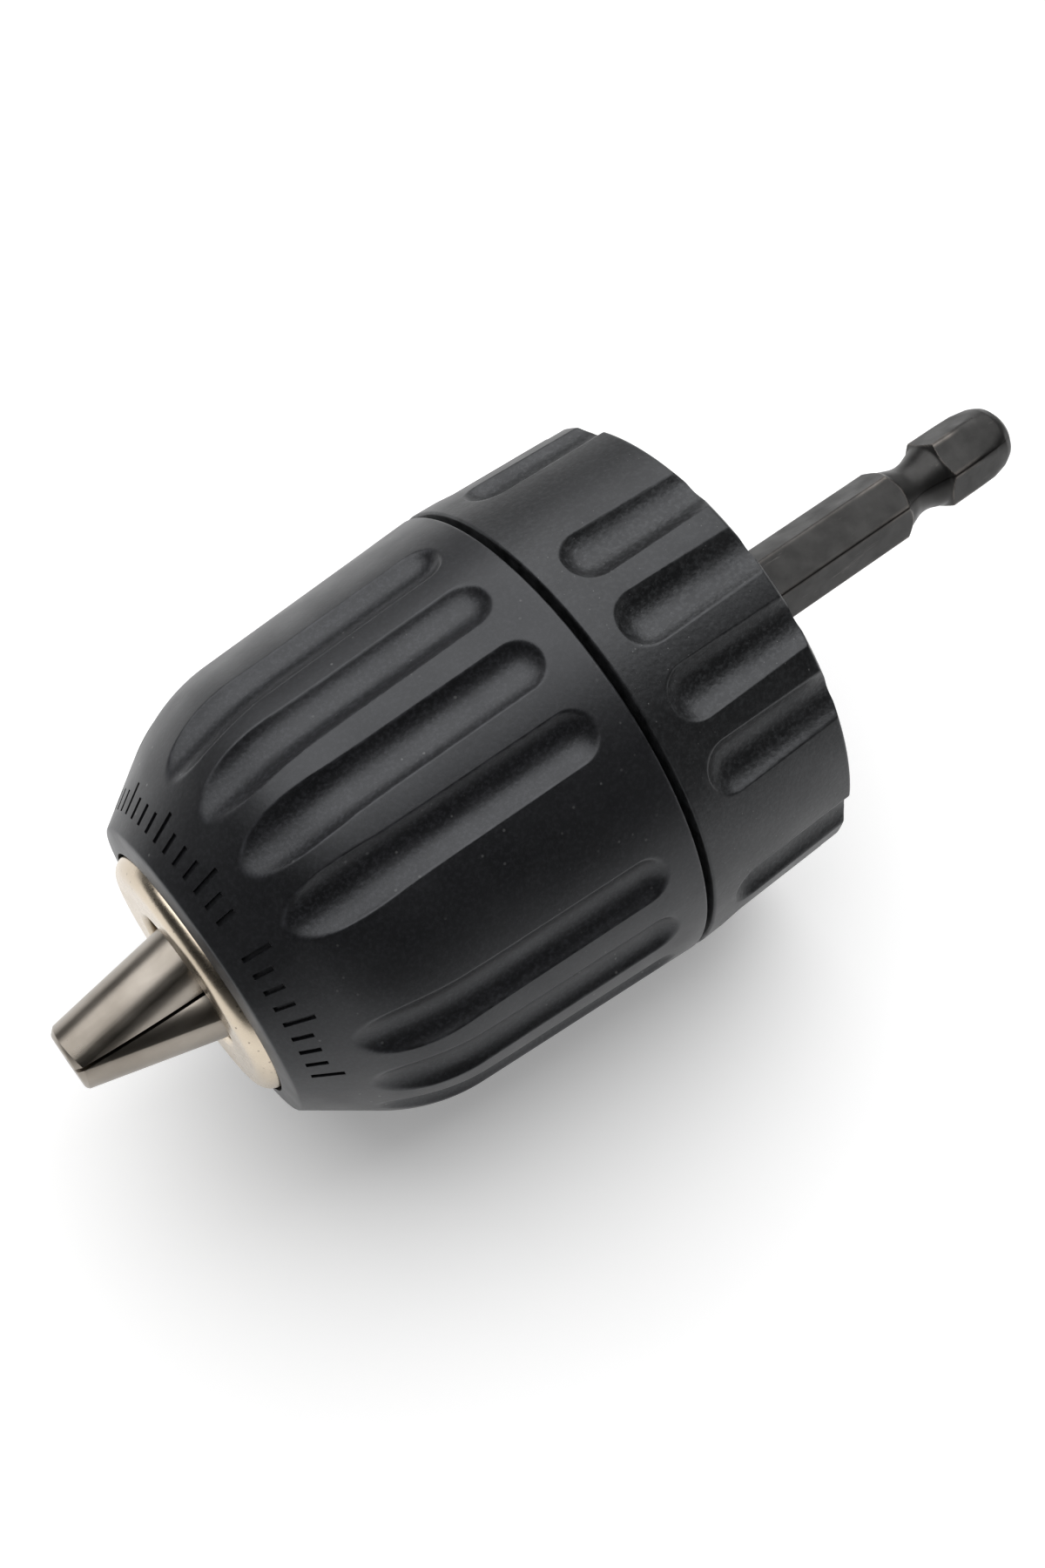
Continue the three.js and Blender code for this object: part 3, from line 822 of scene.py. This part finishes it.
def nut_sleeve():
    """The band round the nut's halves, with the lugs that the front sleeve drives."""
    band = turned("nut_band", [
        (DRIVE_REAR, 16.3, 0.25), (DRIVE_END, 16.3, 0.25), (DRIVE_END, 14.9, 0.2), (DRIVE_REAR, 14.9, 0.2),
    ])
    for k in range(4):
        lug = [(-2, 15.4), (2, 15.4), (2, 17.1), (1.8, 17.3), (-1.8, 17.3), (-2, 17.1)]
        bar = turn_about_x(prism("lug", lug, DRIVE_REAR + 0.05, 72.5), DRIVE_ROLL + 90 * k)
        boolean(band, bar, "UNION")
    shade(band, 35)
    return band


place(nut_half(0), ["nut_half_a"], "grip", "turned_steel")
place(nut_half(1), ["nut_half_b"], "grip", "turned_steel")
place(nut_sleeve(), ["nut_sleeve"], "grip", "turned_steel")


# ---- Thrust bearing ----


def race(name, back, face):
    """A race with a ball groove in its face."""
    radius, half_width = 1.45, 1.137
    away = math.copysign(1, back - face)
    groove = [
        (BALL_PLANE + away * math.sqrt(radius**2 - half_width**2 * t * t), BALL_CIRCLE + half_width * t)
        for t in np.sin(np.linspace(math.pi / 2, -math.pi / 2, 17))
    ]
    corners = [
        (face, RACE_INNER), (back, RACE_INNER, 0.3), (back, RACE_OUTER, 0.3), (face, RACE_OUTER), *groove,
    ]
    return turned(name, corners if away < 0 else corners[::-1])


def ball_cage():
    """A thin plate with a hole for each ball."""
    rear, front = BALL_PLANE - CAGE_HALF_THICKNESS, BALL_PLANE + CAGE_HALF_THICKNESS
    outline = [
        (rear, RACE_OUTER, 0.1), (front, RACE_OUTER, 0.1), (front, RACE_INNER, 0.1), (rear, RACE_INNER, 0.1),
    ]
    plate = turned("cage_plate", outline, 180)
    turns = np.linspace(0, 2 * math.pi, 40, endpoint=False)
    hole = [(CAGE_HOLE * math.cos(t), BALL_CIRCLE + CAGE_HOLE * math.sin(t)) for t in turns]
    for k in range(BALLS):
        boolean(plate, turn_about_x(prism("hole", hole, rear - 1, front + 1), k * 360 / BALLS), "DIFFERENCE")
    shade(plate, 35)
    return plate


def ball(index):
    """A ball at its place round the bearing."""
    outline = [(-math.cos(t) * BALL_RADIUS, math.sin(t) * BALL_RADIUS) for t in np.linspace(0, math.pi, 21)]
    outline[0], outline[-1] = (-BALL_RADIUS, 0), (BALL_RADIUS, 0)
    sphere = turned(f"ball_{index + 1}", outline, 40)
    sphere.data.transform(Matrix.Translation(Vector((BALL_PLANE, 0, BALL_CIRCLE)) * MM))
    return turn_about_x(sphere, index * 360 / BALLS)


place(race("race_behind_balls", 62, 63.8), ["rear_race"], "chuck", "bearing_steel")
place(race("race_before_balls", 67.5, 65.6), ["front_race"], "grip", "bearing_steel")
place(ball_cage(), ["ball_cage"], "ball_set", "bearing_steel")
for index in range(BALLS):
    place(ball(index), [f"bearing_ball_{index + 1}"], "ball_set", "bearing_steel")


# ---- Stage ----


def add_floor():
    """A pale floor under the chuck, which glows a little so that it stays pale in the shadow."""
    low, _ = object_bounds()
    reach = 4.0
    mesh = bpy.data.meshes.new("floor")
    square = ((-reach, -reach), (reach, -reach), (reach, reach), (-reach, reach))
    mesh.from_pydata([(x, y, low.z) for x, y in square], [], [(0, 1, 2, 3)])
    floor = bpy.data.objects.new("floor", mesh)
    bpy.context.scene.collection.objects.link(floor)
    material, tree, shader = new_material(
        "floor", Roughness=0.9, Specular_IOR_Level=0.2, Emission_Color=(1, 1, 1, 1), Emission_Strength=0.3
    )
    shade_of = spread(tree, noise(tree, 3, detail=2), 0, 1)
    tree.links.new(mix(tree, shade_of, (0.86, 0.86, 0.86), (0.88, 0.88, 0.88)), shader.inputs["Base Color"])
    mesh.materials.append(material)


def add_light(name, direction, distance, length, width, brightness):
    """A softbox that faces the chuck from a direction, its length along the chuck, in metres."""
    light = bpy.data.lights.new(name, "AREA")
    light.shape = "RECTANGLE"
    light.size = length
    light.size_y = width
    light.energy = brightness * length * width * math.pi
    lamp = bpy.data.objects.new(name, light)
    bpy.context.scene.collection.objects.link(lamp)
    aim = Vector((0.055, 0, 0))
    toward = Vector(direction).normalized()
    lamp.location = aim + toward * distance
    along = (Vector((1, 0, 0)) - toward * toward.x).normalized()
    lamp.rotation_euler = Matrix((along, toward.cross(along), toward)).transposed().to_euler()


def add_camera():
    """Looks down on the chuck from the jaws' side, close enough for strong perspective."""
    azimuth, elevation, distance = math.radians(142.11), math.radians(61.91), 160.4
    aim = Vector((FRONT_REAR + 3.31, 1.6, -1.86)) * MM
    level = math.cos(elevation)
    look = Vector((-math.sin(azimuth) * level, math.cos(azimuth) * level, -math.sin(elevation)))
    camera = bpy.data.objects.new("camera", bpy.data.cameras.new("camera"))
    camera.data.sensor_width = 36
    camera.data.lens = 43.07
    camera.data.clip_start = 0.01
    camera.location = aim - look * distance * MM
    camera.rotation_euler = look.to_track_quat("-Z", "Y").to_euler()
    bpy.context.scene.collection.objects.link(camera)
    bpy.context.scene.camera = camera


def add_world():
    """A room with pale walls and a dark ceiling."""
    world = bpy.data.worlds.new("studio")
    world.use_nodes = True
    tree = world.node_tree
    coordinates = tree.nodes.new("ShaderNodeTexCoord")
    axes = tree.nodes.new("ShaderNodeSeparateXYZ")
    tree.links.new(coordinates.outputs["Generated"], axes.inputs["Vector"])
    background = tree.nodes["Background"]
    tree.links.new(spread(tree, axes.outputs["Z"], 0.07, 0.015, 0.1, 0.5), background.inputs["Strength"])
    background.inputs["Color"].default_value = (1, 1, 1, 1)
    bpy.context.scene.world = world


add_floor()
add_camera()
add_world()
add_light("key", (-0.25, -0.37, 0.9), 1.2, 2.2, 1.8, 2.5)
bpy.context.scene.view_settings.view_transform = "Standard"
